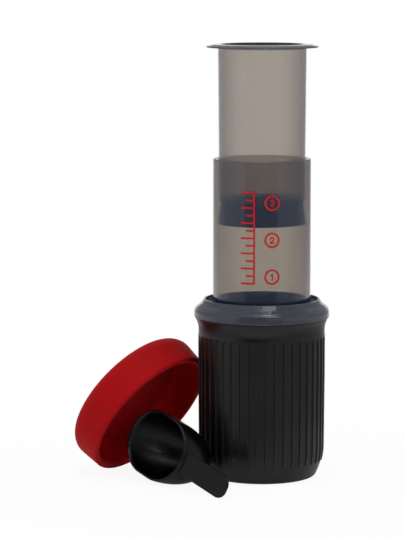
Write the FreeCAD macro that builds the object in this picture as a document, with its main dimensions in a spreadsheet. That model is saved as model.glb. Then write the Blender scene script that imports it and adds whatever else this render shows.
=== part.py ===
import FreeCAD, Part
import math
import os

import Sketcher

# A hand press coffee maker as it stands in use: the ribbed mug, the brewing chamber on its
# rim, the plunger pressed half way down, and beside them the lid and the coffee scoop.
# Millimetres, +Z up, origin at the centre of the mug's foot, front towards -Y.

SIZES = {
    # the round filter paper is bought, so its radius drives the widths of all the round pieces
    "paper_radius": 32.0,
    "paper_thick": 0.3,
    "paper_lap": 1.7,
    # mug
    "mug_height": 109.5,
    "mug_flare": 2.5,
    "mug_neck_drop": 9.6,
    "mug_neck_step": 0.5,
    "mug_wall": 2.4,
    "mug_floor": 3.0,
    "mug_foot_inset": 5.8,
    "mug_foot_groove": 0.6,
    "mug_foot_groove_width": 2.5,
    "mug_foot_ring": 4.5,
    "mug_base_rise": 12.5,
    "mug_base_sweep": 41.0,
    "mug_foot_rounding": 4.0,
    "mug_flare_sweep": 17.0,
    "rib_proud": 0.8,
    "rib_land": 2.0,
    "rib_count": 42,
    "rib_tuck": 1.0,
    "rib_foot_inset": 1.2,
    "rib_foot_bend": 5.0,
    "rib_shoulder": 3.0,
    # chamber
    "chamber_wall": 2.9,
    "chamber_rise": 107.9,
    "chamber_drop": 13.5,
    "flange_overhang": 0.6,
    "flange_bead": 5.9,
    "flange_bead_rounding": 4.5,
    "flange_shoulder": 4.65,
    "flange_wall": 2.4,
    "flange_ring_inset": 6.55,
    "flange_ring_width": 1.2,
    "flange_ring_rise": 12.4,
    "flange_trough_depth": 3.0,
    "skirt_depth": 4.0,
    "skirt_wall": 1.6,
    "skirt_room": 5.0,
    "skirt_fit": 0.75,
    # bayonet between the chamber and the filter cap
    "lug_count": 5,
    "lug_span": 30.0,
    "lug_proud": 1.5,
    "lug_thick": 2.5,
    "lug_rise": 3.0,
    "lug_gap": 0.3,
    # filter cap
    "cap_wall": 1.6,
    "cap_floor": 2.0,
    "cap_rim_over_lug": 0.5,
    "cap_hole": 2.0,
    "cap_hole_pitch": 5.2,
    "cap_grip_count": 36,
    "cap_grip_radius": 1.2,
    "cap_grip_depth": 0.5,
    # plunger
    "plunger_play": 1.2,
    "plunger_taper": 0.85,
    "plunger_wall": 2.4,
    "plunger_length": 103.4,
    "plunger_end_plate": 2.4,
    "plunger_raised": 76.6,
    "brim_reach": 8.05,
    "brim_edge": 1.0,
    "brim_crown": 1.2,
    "brim_slope": 4.5,
    "brim_slope_rounding": 8.0,
    "spigot_step": 4.6,
    # seal
    "seal_height": 16.4,
    "seal_floor": 5.4,
    "seal_wall": 3.2,
    "seal_waist_play": 0.9,
    "seal_waist_rise": 5.0,
    "seal_waist_rounding": 11.4,
    "seal_lip_clearance": 0.08,
    "seal_lip_edge": 1.2,
    "seal_lip_band": 0.8,
    "seal_fit": 0.05,
    "seal_crown": 0.5,
    # lid
    "lid_rim_wall": 4.35,
    "lid_spread": 2.15,
    "lid_height": 26.2,
    "lid_corner": 9.3,
    "lid_wall": 3.2,
    "lid_top_wall": 3.4,
    "lid_lip_height": 4.0,
    "lid_fit": 0.3,
    "lid_lean": 54.5,
    "lid_turn": 145.75,
    "lid_bearing": 175.4,
    "lid_gap": 0.1,
    # scoop
    "scoop_half_width": 22.35,
    "scoop_half_straight": 4.9,
    "scoop_depth": 34.6,
    "scoop_shift": 13.9,
    "scoop_wall": 1.7,
    "handle_reach": 44.2,
    "handle_width": 16.0,
    "handle_thick": 1.8,
    "handle_drop": 2.1,
    "handle_side": 1.0,
    "scoop_turn": -47.2,
    "scoop_roll": 72.9,
    "scoop_bearing": -153.5,
    "scoop_gap": 0.3,
}

SHEET = "dimensions"
EDGE = 0.8              # rounding on moulded edges
FINE_EDGE = 0.4         # rounding on thin edges
DEGREES = 57.29578      # in one radian
CAP_HOLE_RINGS = 5
BOWL_STEPS = 6
BOWL_LAST_ANGLE = 82    # where the bowl's rounded bottom ends in a small flat
TOUCH = 0.05            # how finely a piece is placed on the floor


# Sizes that carry their formula

class Size:
    """A number together with its formula in the sheet, for binding a sketch or a feature."""

    def __init__(self, formula, number):
        self.formula = formula
        self.number = number

    def __add__(self, other):
        return combine(self, "+", other)

    def __radd__(self, other):
        return combine(other, "+", self)

    def __sub__(self, other):
        return combine(self, "-", other)

    def __rsub__(self, other):
        return combine(other, "-", self)

    def __mul__(self, other):
        return combine(self, "*", other)

    def __rmul__(self, other):
        return combine(other, "*", self)

    def __truediv__(self, other):
        return combine(self, "/", other)

    def __rtruediv__(self, other):
        return combine(other, "/", self)

    def __neg__(self):
        return combine(0, "-", self)


def as_size(value):
    return value if isinstance(value, Size) else Size(repr(float(value)), float(value))


def combine(left, sign, right):
    left, right = as_size(left), as_size(right)
    number = {
        "+": lambda a, b: a + b,
        "-": lambda a, b: a - b,
        "*": lambda a, b: a * b,
        "/": lambda a, b: a / b,
    }[sign](left.number, right.number)
    return Size("(%s %s %s)" % (left.formula, sign, right.formula), number)


class Sheet:
    """The spreadsheet of driving sizes; each alias is read as an attribute."""

    def __init__(self, document, sizes):
        self.cells = document.addObject("Spreadsheet::Sheet", SHEET)
        self.known = {}
        for row, (alias, number) in enumerate(sizes.items(), start=1):
            self.cells.set("A%d" % row, alias)
            self.cells.set("B%d" % row, str(number))
            self.cells.setAlias("B%d" % row, alias)
            self.known[alias] = Size("%s.%s" % (SHEET, alias), float(number))

    def __getattr__(self, alias):
        return self.known[alias]


doc = FreeCAD.newDocument("hand_press_coffee_maker")
dim = Sheet(doc, SIZES)
doc.recompute()


def bind(feature, **properties):
    """Bind the named properties of a feature to sheet formulas."""
    for name, value in properties.items():
        feature.setExpression(name, as_size(value).formula)


# Sketches

def origin_feature(body, role):
    return next(item for item in body.Origin.OriginFeatures if item.Role == role)


def new_sketch(body, name, plane, height=None):
    """A sketch on one of the body's origin planes, lifted along its normal by height."""
    sketch = body.newObject("Sketcher::SketchObject", name)
    sketch.AttachmentSupport = (origin_feature(body, plane), [""])
    sketch.MapMode = "FlatFace"
    if height is not None:
        sketch.setExpression("AttachmentOffset.Base.z", as_size(height).formula)
    return sketch


def constrain(sketch, kind, *where, value=None):
    """Add one constraint, bound to its formula when it has a value."""
    if value is None:
        return sketch.addConstraint(Sketcher.Constraint(kind, *where))
    value = as_size(value)
    number = math.radians(value.number) if kind == "Angle" else value.number
    index = sketch.addConstraint(Sketcher.Constraint(kind, *where, number))
    sketch.setExpression("Constraints[%d]" % index, value.formula)
    return index


def pin_point(sketch, point, across, up):
    """Hold a sketch point at a place given from the sketch's origin."""
    for kind, axis, value in (("DistanceX", -2, across), ("DistanceY", -1, up)):
        if as_size(value).number == 0:
            constrain(sketch, "PointOnObject", point, 1, axis)
        else:
            constrain(sketch, kind, -1, 1, point, 1, value=value)


def vector(across, up):
    return FreeCAD.Vector(across, up, 0)


def corner_arc(before, corner, after, rounding):
    """Tangent points and centre of the arc that rounds a corner, and whether it turns left."""
    back = (before - corner).normalize()
    ahead = (after - corner).normalize()
    half = back.getAngle(ahead) / 2
    reach = rounding / math.tan(half)
    centre = corner + (back + ahead).normalize() * (rounding / math.sin(half))
    turns_left = back.cross(ahead).z < 0
    return corner + back * reach, corner + ahead * reach, centre, turns_left


def outline_sketch(body, name, plane, corners, height=None):
    """A closed outline; each corner is (across, up) or (across, up, rounding)."""
    sketch = new_sketch(body, name, plane, height)
    count = len(corners)
    places = [vector(as_size(c[0]).number, as_size(c[1]).number) for c in corners]
    starts, ends, arcs = list(places), list(places), {}
    for i, corner in enumerate(corners):
        if len(corner) == 3:
            rounding = as_size(corner[2]).number
            before, after = places[i - 1], places[(i + 1) % count]
            ends[i], starts[i], centre, turns_left = corner_arc(before, places[i], after, rounding)
            arcs[i] = (centre, rounding, turns_left)
    points = [sketch.addGeometry(Part.Point(place), True) for place in places]
    lines = [sketch.addGeometry(Part.LineSegment(starts[i], ends[(i + 1) % count]), False)
             for i in range(count)]
    for point, corner in zip(points, corners):
        pin_point(sketch, point, corner[0], corner[1])
    for i in range(count):
        arriving, leaving = lines[i - 1], lines[i]
        if i not in arcs:
            constrain(sketch, "Coincident", arriving, 2, points[i], 1)
            constrain(sketch, "Coincident", leaving, 1, points[i], 1)
            continue
        centre, rounding, turns_left = arcs[i]
        first, last = (ends[i], starts[i]) if turns_left else (starts[i], ends[i])
        circle = Part.Circle(centre, FreeCAD.Vector(0, 0, 1), rounding)
        arc = sketch.addGeometry(
            Part.ArcOfCircle(circle, circle.parameter(first), circle.parameter(last)), False)
        near, far = (1, 2) if turns_left else (2, 1)
        constrain(sketch, "Tangent", arriving, 2, arc, near)
        constrain(sketch, "Tangent", leaving, 1, arc, far)
        constrain(sketch, "PointOnObject", points[i], 1, arriving)
        constrain(sketch, "PointOnObject", points[i], 1, leaving)
        constrain(sketch, "Radius", arc, value=corners[i][2])
    return sketch


def circle_sketch(body, name, plane, across, up, radius, height=None):
    sketch = new_sketch(body, name, plane, height)
    place = vector(as_size(across).number, as_size(up).number)
    circle = sketch.addGeometry(
        Part.Circle(place, FreeCAD.Vector(0, 0, 1), as_size(radius).number), False)
    constrain(sketch, "Radius", circle, value=radius)
    for kind, axis, value in (("DistanceX", -2, across), ("DistanceY", -1, up)):
        if as_size(value).number == 0:
            constrain(sketch, "PointOnObject", circle, 3, axis)
        else:
            constrain(sketch, kind, -1, 1, circle, 3, value=value)
    return sketch


def sector_sketch(body, name, inner, outer, span, height):
    """A piece of a ring, centred on the X axis, as wide as span degrees."""
    sketch = new_sketch(body, name, "XY_Plane", height)
    half = math.radians(as_size(span).number / 2)
    up = FreeCAD.Vector(0, 0, 1)
    arcs = []
    for radius in (inner, outer):
        circle = Part.Circle(FreeCAD.Vector(), up, as_size(radius).number)
        arc = sketch.addGeometry(Part.ArcOfCircle(circle, -half, half), False)
        constrain(sketch, "Coincident", arc, 3, -1, 1)
        constrain(sketch, "Radius", arc, value=radius)
        arcs.append(arc)
    for end, side in ((1, -1), (2, 1)):
        ray = FreeCAD.Vector(math.cos(side * half), math.sin(side * half), 0)
        line = sketch.addGeometry(
            Part.LineSegment(ray * as_size(inner).number, ray * as_size(outer).number), False)
        constrain(sketch, "Coincident", line, 1, arcs[0], end)
        constrain(sketch, "Coincident", line, 2, arcs[1], end)
        constrain(sketch, "PointOnObject", -1, 1, line)
        constrain(sketch, "Angle", line, value=side * span / 2)
    return sketch


def oval_sketch(body, name, radius, half_straight, shift, height):
    """Two half circles joined by straight sides along X, each half circle in two arcs."""
    sketch = new_sketch(body, name, "XY_Plane", height)
    normal = FreeCAD.Vector(0, 0, 1)
    quarter = math.pi / 2
    ends = []
    for side, start in ((1, -quarter), (-1, quarter)):
        middle = shift + side * half_straight
        centre = vector(as_size(middle).number, 0)
        point = sketch.addGeometry(Part.Point(centre), True)
        pin_point(sketch, point, middle, 0)
        circle = Part.Circle(centre, normal, as_size(radius).number)
        first, second = [sketch.addGeometry(
            Part.ArcOfCircle(circle, start + step * quarter, start + (step + 1) * quarter), False)
            for step in (0, 1)]
        for arc in (first, second):
            constrain(sketch, "Coincident", arc, 3, point, 1)
        constrain(sketch, "Radius", first, value=radius)
        constrain(sketch, "Coincident", first, 2, second, 1)
        constrain(sketch, "PointOnObject", first, 2, -1)
        constrain(sketch, "Vertical", point, 1, first, 1)
        constrain(sketch, "Vertical", point, 1, second, 2)
        ends.append((first, second))
    for leaving, arriving in ((ends[0][1], ends[1][0]), (ends[1][1], ends[0][0])):
        line = sketch.addGeometry(Part.LineSegment(
            sketch.getPoint(leaving, 2), sketch.getPoint(arriving, 1)), False)
        constrain(sketch, "Coincident", line, 1, leaving, 2)
        constrain(sketch, "Coincident", line, 2, arriving, 1)
    return sketch


# Features

def new_body(label):
    body = doc.addObject("PartDesign::Body", label)
    body.Label = label
    return body


def turn(body, name, corners, span=360):
    """Turn an outline in the XZ plane round Z, a whole turn or evenly to both sides."""
    sketch = outline_sketch(body, name + "_outline", "XZ_Plane", corners)
    feature = body.newObject("PartDesign::Revolution", name)
    feature.Profile = sketch
    feature.ReferenceAxis = (sketch, ["V_Axis"])
    feature.Midplane = True
    bind(feature, Angle=span)
    doc.recompute()
    return feature


def pad(body, name, sketch, length):
    feature = body.newObject("PartDesign::Pad", name)
    feature.Profile = sketch
    bind(feature, Length=length)
    doc.recompute()
    return feature


def cut(body, name, sketch, length, reverse=False):
    """A pocket that has to take something away."""
    before = body.Shape.Volume
    feature = body.newObject("PartDesign::Pocket", name)
    feature.Profile = sketch
    feature.Reversed = reverse
    bind(feature, Length=length)
    doc.recompute()
    if body.Shape.Volume > before - 0.01:
        raise RuntimeError(name + " cuts nothing")
    return feature


def ring_of(body, name, originals, count):
    """Copies of some features, evenly round Z."""
    feature = body.newObject("PartDesign::PolarPattern", name)
    feature.Originals = originals
    feature.Axis = (origin_feature(body, "Z_Axis"), [""])
    feature.Angle = 360
    bind(feature, Occurrences=count)
    body.Tip = feature
    doc.recompute()
    return feature


def loft(body, name, kind, sketches):
    feature = body.newObject(kind, name)
    feature.Profile = sketches[0]
    feature.Sections = sketches[1:]
    feature.Ruled = False
    doc.recompute()
    return feature


# Heights and radii that several pieces share

seat = dim.mug_height                                   # flange on the mug's rim
chamber_top = seat + dim.chamber_rise
chamber_foot = seat - dim.chamber_drop
chamber_bore = dim.paper_radius - dim.paper_lap
chamber_outer = chamber_bore + dim.chamber_wall
skirt_inner = chamber_outer + dim.skirt_room
skirt_outer = skirt_inner + dim.skirt_wall
neck_radius = skirt_outer + dim.skirt_fit + dim.mug_wall
rim_radius = neck_radius + dim.mug_flare
body_radius = neck_radius - dim.mug_neck_step
foot_radius = body_radius - dim.mug_foot_inset
rib_radius = body_radius + dim.rib_proud
lug_top = chamber_foot + dim.lug_rise + dim.lug_thick
paper_top = chamber_foot
cap_floor_top = paper_top - dim.paper_thick
seal_foot = paper_top + dim.plunger_raised
shoulder = seal_foot + dim.seal_height                  # end of the plunger tube
plunger_radius = chamber_bore - dim.plunger_play        # at its lower end
spigot_radius = plunger_radius - dim.spigot_step
spigot_foot = seal_foot + dim.seal_floor


# Mug: one moulded cup, its outside fluted between a smooth base and a smooth neck

def make_mug():
    body = new_body("mug")
    neck = seat - dim.mug_neck_drop
    flare = seat - dim.mug_neck_drop / 2
    rib_top = neck - dim.rib_shoulder
    rib_foot = dim.mug_base_rise - dim.rib_tuck
    inner = body_radius - dim.mug_wall
    # a shallow groove sets off the ring that the mug stands on
    groove = foot_radius - dim.mug_foot_rounding - dim.mug_foot_ring
    turn(body, "mug_wall", [
        (0, 0),
        (groove - dim.mug_foot_groove_width, 0),
        (groove - dim.mug_foot_groove_width, dim.mug_foot_groove),
        (groove, dim.mug_foot_groove),
        (groove, 0),
        (foot_radius, 0, dim.mug_foot_rounding),
        (body_radius, dim.mug_base_rise, dim.mug_base_sweep),
        (body_radius, rib_top),
        (neck_radius, neck),
        (neck_radius, flare, dim.mug_flare_sweep),
        (rim_radius, seat),
        (rim_radius - dim.mug_wall, seat),
        (neck_radius - dim.mug_wall, flare, dim.mug_flare_sweep),
        (inner, rib_top),
        (inner, dim.mug_base_rise, dim.mug_base_sweep / 2),
        (foot_radius - dim.mug_wall, dim.mug_floor, dim.mug_foot_rounding),
        (0, dim.mug_floor),
    ])
    # each rib is a narrow raised band that reaches half way into the wall
    sunk = dim.mug_wall / 2
    rib_foot_radius = rib_radius - dim.rib_foot_inset
    rib = turn(body, "rib", [
        (rib_foot_radius - dim.rib_proud - sunk, rib_foot),
        (rib_foot_radius, rib_foot),
        (rib_radius, rib_foot + dim.rib_foot_bend),
        (rib_radius, rib_top),
        (neck_radius, neck),
        (neck_radius - sunk, neck),
        (body_radius - sunk, rib_top),
        (body_radius - sunk, rib_foot + dim.rib_foot_bend),
    ], span=dim.rib_land / rib_radius * DEGREES)
    ring_of(body, "ribs", [rib], dim.rib_count)
    return body


# Chamber: the brewing tube and the hat-shaped flange that stands on the mug, one moulding

def make_chamber():
    body = new_body("chamber")
    ring_top = seat + dim.flange_ring_rise
    trough = ring_top - dim.flange_trough_depth
    bead = seat + dim.flange_bead
    skirt_foot = seat - dim.skirt_depth
    flange_radius = rim_radius + dim.flange_overhang
    ring_radius = flange_radius - dim.flange_ring_inset
    ring_inner = ring_radius - dim.flange_ring_width
    roof = trough - dim.flange_wall
    # under the flange a skirt drops into the mug's neck and keeps the press upright
    turn(body, "chamber_tube", [
        (chamber_bore, chamber_foot),
        (chamber_bore, chamber_top, FINE_EDGE),
        (chamber_outer, chamber_top, EDGE),
        (chamber_outer, trough, dim.flange_wall),
        (ring_inner - dim.flange_ring_width / 2, trough, FINE_EDGE),
        (ring_inner, ring_top, FINE_EDGE),
        (ring_radius, ring_top, FINE_EDGE),
        (flange_radius - dim.flange_shoulder, trough, dim.flange_wall),
        (flange_radius, bead, dim.flange_bead_rounding),
        (flange_radius, seat, EDGE),
        (flange_radius - dim.flange_wall, seat),
        (flange_radius - dim.flange_wall, bead - dim.flange_wall / 2,
         dim.flange_bead_rounding - dim.flange_wall),
        (skirt_outer, roof, EDGE),
        (skirt_outer, skirt_foot, FINE_EDGE),
        (skirt_inner, skirt_foot, FINE_EDGE),
        (skirt_inner, roof, EDGE),
        (chamber_outer, roof, EDGE),
        (chamber_outer, chamber_foot),
    ])
    lug = pad(body, "lug", sector_sketch(
        body, "lug_outline", chamber_outer - dim.chamber_wall / 2, chamber_outer + dim.lug_proud,
        dim.lug_span, chamber_foot + dim.lug_rise), dim.lug_thick)
    ring_of(body, "lugs", [lug], dim.lug_count)
    return body


# Filter cap: a perforated cup that twists on below the chamber; its lugs rest on the chamber's

def make_filter_cap():
    body = new_body("filter_cap")
    inner = chamber_outer + dim.lug_proud + dim.lug_gap
    outer = inner + dim.cap_wall
    floor_foot = cap_floor_top - dim.cap_floor
    cap_lug_foot = lug_top + dim.lug_gap
    cap_top = cap_lug_foot + dim.lug_thick + dim.cap_rim_over_lug
    turn(body, "cap_cup", [
        (0, floor_foot),
        (outer, floor_foot, EDGE),
        (outer, cap_top, FINE_EDGE),
        (inner, cap_top),
        (inner, cap_floor_top),
        (0, cap_floor_top),
    ])
    cap_lug = pad(body, "cap_lug", sector_sketch(
        body, "cap_lug_outline", chamber_outer + dim.lug_gap, inner + dim.cap_wall / 2,
        dim.lug_span, cap_lug_foot), dim.lug_thick)
    ring_of(body, "cap_lugs", [cap_lug], dim.lug_count)
    grip = cut(body, "grip", circle_sketch(
        body, "grip_outline", "XY_Plane", outer + dim.cap_grip_radius - dim.cap_grip_depth, 0,
        dim.cap_grip_radius, floor_foot), cap_top - floor_foot, reverse=True)
    ring_of(body, "grips", [grip], dim.cap_grip_count)
    cut(body, "hole_centre", circle_sketch(
        body, "hole_centre_outline", "XY_Plane", 0, 0, dim.cap_hole / 2, floor_foot),
        dim.cap_floor, reverse=True)
    for ring in range(1, CAP_HOLE_RINGS + 1):
        hole = cut(body, "hole_%d" % ring, circle_sketch(
            body, "hole_%d_outline" % ring, "XY_Plane", dim.cap_hole_pitch * ring, 0,
            dim.cap_hole / 2, floor_foot), dim.cap_floor, reverse=True)
        ring_of(body, "holes_%d" % ring, [hole], 6 * ring)
    return body


def make_paper_filter():
    body = new_body("paper_filter")
    pad(body, "paper", circle_sketch(
        body, "paper_outline", "XY_Plane", 0, 0, dim.paper_radius, cap_floor_top),
        dim.paper_thick)
    return body


# Plunger: an open tube with a brim for the hand and a closed end that carries the seal

def make_plunger_tube():
    body = new_body("plunger_tube")
    brim_foot = shoulder + dim.plunger_length
    brim_top = brim_foot + dim.brim_edge + dim.brim_crown
    brim_root = plunger_radius + dim.plunger_taper
    brim_radius = brim_root + dim.brim_reach
    inner_low = plunger_radius - dim.plunger_wall
    inner_top = brim_root - dim.plunger_wall
    spigot_inner = spigot_radius - dim.plunger_wall
    turn(body, "plunger_wall", [
        (0, spigot_foot),
        (spigot_radius, spigot_foot, EDGE),
        (spigot_radius, shoulder),
        (plunger_radius, shoulder, EDGE),
        (brim_root, brim_foot, EDGE),
        (brim_radius, brim_foot, FINE_EDGE),
        (brim_radius, brim_foot + dim.brim_edge, FINE_EDGE),
        (brim_radius - dim.brim_slope, brim_top, dim.brim_slope_rounding),
        (inner_top, brim_top, FINE_EDGE),
        (inner_low, shoulder + dim.plunger_wall, EDGE),
        (spigot_inner, shoulder + dim.plunger_wall, EDGE),
        (spigot_inner, spigot_foot + dim.plunger_end_plate, EDGE),
        (0, spigot_foot + dim.plunger_end_plate),
    ])
    return body


def make_plunger_seal():
    body = new_body("plunger_seal")
    lip = chamber_bore - dim.seal_lip_clearance
    socket = spigot_radius + dim.seal_fit
    socket_floor = spigot_foot - dim.seal_fit
    turn(body, "seal_cup", [
        (0, seal_foot),
        (lip - dim.seal_lip_edge * 2, seal_foot + dim.seal_crown),
        (lip, seal_foot + dim.seal_lip_edge, FINE_EDGE),
        (lip, seal_foot + dim.seal_lip_edge + dim.seal_lip_band),
        (chamber_bore - dim.seal_waist_play, seal_foot + dim.seal_waist_rise, dim.seal_waist_rounding),
        (spigot_radius + dim.seal_wall, shoulder, FINE_EDGE),
        (socket, shoulder),
        (socket, socket_floor),
        (0, socket_floor),
    ])
    return body


# Things that stand beside the mug

def surface_points(shape):
    return shape.tessellate(TOUCH)[0]


def lowest(points, rotation):
    return min(rotation.multVec(point).z for point in points)


def stand_beside(body, rotation, bearing, clear_radius):
    """Rest a turned piece on the floor, its nearest point at clear_radius from the mug's axis."""
    points = [rotation.multVec(point) for point in surface_points(body.Shape)]
    lift = -min(point.z for point in points)
    way = math.radians(as_size(bearing).number)
    limit = as_size(clear_radius).number
    near, far = 0.0, 2 * limit + max(point.Length for point in points)

    def reach(distance):
        return min(math.hypot(point.x + distance * math.cos(way), point.y + distance * math.sin(way))
                   for point in points)

    while far - near > TOUCH / 10:
        middle = (near + far) / 2
        if reach(middle) < limit:
            near = middle
        else:
            far = middle
    place = FreeCAD.Vector(far * math.cos(way), far * math.sin(way), lift)
    body.Placement = FreeCAD.Placement(place, rotation)
    doc.recompute()


def make_lid():
    """A soft cup that fits over the mug's rim; its mouth is the plane z = 0 while it is made."""
    body = new_body("lid")
    lip = rim_radius + dim.lid_fit
    mouth = lip + dim.lid_rim_wall
    crown = mouth + dim.lid_spread
    inner = crown - dim.lid_wall
    ceiling = dim.lid_height - dim.lid_top_wall
    turn(body, "lid_cup", [
        (lip, 0, EDGE * 2),
        (mouth, 0, EDGE * 2),
        (crown, dim.lid_height, dim.lid_corner),
        (0, dim.lid_height),
        (0, ceiling),
        (inner, ceiling, dim.lid_corner - dim.lid_wall),
        (inner - dim.lid_spread / 2, dim.lid_lip_height * 2, dim.lid_lip_height),
        (lip, dim.lid_lip_height, dim.lid_lip_height / 2),
    ])
    # its top leans away from the viewer and from the mug
    turned = FreeCAD.Rotation(FreeCAD.Vector(0, 0, 1), dim.lid_turn.number)
    leaned = FreeCAD.Rotation(FreeCAD.Vector(0, 1, 0), dim.lid_lean.number)
    stand_beside(body, turned.multiply(leaned), dim.lid_bearing, rib_radius + dim.lid_gap)
    return body


def bowl_loft(body, name, kind, wall):
    """The scoop's bowl, wall thinner than its outside all round, from the rim downwards."""
    sketches = []
    for step in range(BOWL_STEPS):
        angle = math.radians(BOWL_LAST_ANGLE * step / (BOWL_STEPS - 1))
        width, depth = math.cos(angle), math.sin(angle)
        sketches.append(oval_sketch(
            body, "%s_%d" % (name, step), (dim.scoop_half_width - wall) * width,
            dim.scoop_half_straight * width, dim.scoop_shift * depth,
            -(dim.scoop_depth - wall) * depth))
    return loft(body, name, kind, sketches)


def make_scoop():
    """A deep oval bowl with a flat handle; the rim is the plane z = 0 while it is made."""
    body = new_body("scoop")
    bowl_loft(body, "bowl", "PartDesign::AdditiveLoft", 0)
    bowl_points = surface_points(body.Shape)
    rim_end = dim.scoop_half_straight + dim.scoop_half_width
    tip = rim_end + dim.handle_reach
    root = rim_end - dim.handle_width / 2
    side = dim.handle_width / 2
    tip_rounding = side - dim.handle_side
    handle = pad(body, "handle", outline_sketch(body, "handle_outline", "XY_Plane", [
        (root, -side),
        (tip, -side, tip_rounding),
        (tip, side, tip_rounding),
        (root, side),
    ], -(dim.handle_drop + dim.handle_thick)), dim.handle_thick)
    handle_points = [point for point in surface_points(body.Shape)
                     if point.x > rim_end.number + dim.handle_width.number]
    bowl_loft(body, "hollow", "PartDesign::SubtractiveLoft", dim.scoop_wall)
    # the handle dips until its tip and the bowl both rest on the floor
    low, high = 0.0, 60.0
    while high - low > TOUCH:
        dip = (low + high) / 2
        rotation = FreeCAD.Rotation(dim.scoop_turn.number, dip, dim.scoop_roll.number)
        if lowest(handle_points, rotation) > lowest(bowl_points, rotation):
            low = dip
        else:
            high = dip
    stand_beside(body, rotation, dim.scoop_bearing, rib_radius + dim.scoop_gap)
    return body


def check(pieces):
    """Stop if anything in the document failed, or a piece has no sound shape."""
    for item in doc.Objects:
        if "Invalid" in item.State or "Error" in item.State:
            raise RuntimeError("%s failed: %s" % (item.Name, item.State))
    for piece in pieces:
        if piece.Shape.isNull() or not piece.Shape.isValid():
            raise RuntimeError(piece.Label + " has no sound shape")
        if len(piece.Shape.Solids) != 1:
            raise RuntimeError(piece.Label + " is not one solid")


def main():
    pieces = [
        make_mug(),
        make_chamber(),
        make_filter_cap(),
        make_paper_filter(),
        make_plunger_tube(),
        make_plunger_seal(),
        make_lid(),
        make_scoop(),
    ]
    doc.recompute()
    check(pieces)
    os.makedirs("parts", exist_ok=True)
    for piece in pieces:
        piece.Shape.exportStep(os.path.join("parts", piece.Label + ".step"))
        box = piece.Shape.BoundBox
        print("%-14s %8.1f mm3  x %7.2f %7.2f  y %7.2f %7.2f  z %7.2f %7.2f" % (
            piece.Label, piece.Shape.Volume, box.XMin, box.XMax, box.YMin, box.YMax,
            box.ZMin, box.ZMax))


main()
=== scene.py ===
import math

import bmesh
import bpy
from mathutils import Euler, Matrix, Vector


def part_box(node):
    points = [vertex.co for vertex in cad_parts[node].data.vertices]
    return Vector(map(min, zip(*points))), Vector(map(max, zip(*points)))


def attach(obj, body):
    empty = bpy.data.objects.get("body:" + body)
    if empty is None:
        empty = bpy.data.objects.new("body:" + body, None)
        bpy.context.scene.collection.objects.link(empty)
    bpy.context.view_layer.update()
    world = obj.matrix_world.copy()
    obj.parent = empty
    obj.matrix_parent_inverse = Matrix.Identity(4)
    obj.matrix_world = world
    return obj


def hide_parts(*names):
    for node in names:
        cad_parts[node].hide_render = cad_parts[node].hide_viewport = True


# A hand press coffee maker in use: a fluted black mug, the smoke-tinted press standing on it,
# and beside it the soft red lid and a black scoop. Sizes are in millimetres until a mesh is
# made, the width of a round piece is given as a radius, and the angles named here are in
# degrees.

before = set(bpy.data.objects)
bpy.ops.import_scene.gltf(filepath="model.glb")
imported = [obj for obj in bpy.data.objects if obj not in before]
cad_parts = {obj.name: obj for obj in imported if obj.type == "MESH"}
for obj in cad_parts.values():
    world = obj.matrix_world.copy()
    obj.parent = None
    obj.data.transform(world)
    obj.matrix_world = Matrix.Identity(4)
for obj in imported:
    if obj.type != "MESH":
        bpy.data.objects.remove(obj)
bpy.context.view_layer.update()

MM = 0.001
TINY = 1e-6
SEAT_GAP = 0.05             # between faces that touch on the real thing


# Sizes read from the frame

def node_box(node):
    """Lowest and highest corners of a CAD node in millimetres."""
    low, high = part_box(node)
    return low / MM, high / MM


SEAT = node_box("mug")[1].z
MUG_RIM = node_box("mug")[1].x
CHAMBER_FOOT = node_box("chamber")[0].z
CHAMBER_TOP = node_box("chamber")[1].z
FLANGE = node_box("chamber")[1].x
PLUNGER_FOOT = node_box("plunger_tube")[0].z
PLUNGER_TOP = node_box("plunger_tube")[1].z
BRIM = node_box("plunger_tube")[1].x
SEAL_FOOT = node_box("plunger_seal")[0].z
SHOULDER = node_box("plunger_seal")[1].z
SEAL_LIP = node_box("plunger_seal")[1].x

# Points of the outlines

ARC_STEP = 9                # between the points of a rounding
LONG_PART = 1.5             # straight parts of an outline longer than this get more points
END_HOLD = 0.2              # this far from their ends
LONGEST_ROW = 1.5           # a gap between rows is at most this many of the steps wanted there
SHARP_ANGLE = 35            # edges bent more than this are shaded sharp
TUBE_COLUMNS = 240

# Mug

MUG_WALL = 2.4
MUG_FLOOR = 3.0
MUG_FOOT = 36.65
MUG_FOOT_ROUNDING = 4.0
MUG_BASE_RISE = 12.5
MUG_BASE_SWEEP = 41.0
MUG_LOWER = 42.0            # at a flute's bottom, above the base
MUG_UPPER = 42.45           # and from the middle upwards
MUG_MIDDLE = 72.0
MUG_TAPER_SWEEP = 900.0
MUG_NECK = 42.2             # before the lands' height is added
MUG_NECK_START = 0.5        # above the flutes
MUG_NECK_DROP = 9.6         # from the rim down to the neck
MUG_FLARE_SWEEP = 17.0
MUG_RIM_ROUNDING = 0.4
MUG_ARC_STEP = 3
FOOT_GROOVE = (25.65, 28.15)
FOOT_GROOVE_DEPTH = 0.6
FLUTES = 42
FLUTE_WIDTH = 4.4
FLUTE_DEPTH = 0.75
FLUTE_TOP = 97.0
FLUTE_CORNER = 2.0          # rounding of a flute's arched top
FLUTE_EDGE = 0.35           # width of the soft step between land and flute
LAND_FOOT = 11.2            # where the lands between the flutes end below
FLUTE_COLUMNS = (0.8, 1.4, 1.75, 1.95, 2.1, 2.2, 2.3, 2.45, 2.7)  # from a flute's middle
ROWS_INSET = 1.0            # rows are closest this far inside the end of a flute or land
ROWS_CLOSE = 2.0            # and this far to both sides of that height
ROWS_GROWTH = 0.4           # then their distance grows by this for each millimetre
ROW_DISTANCES = (0.2, 5)    # from the least to the most

# Chamber

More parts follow.
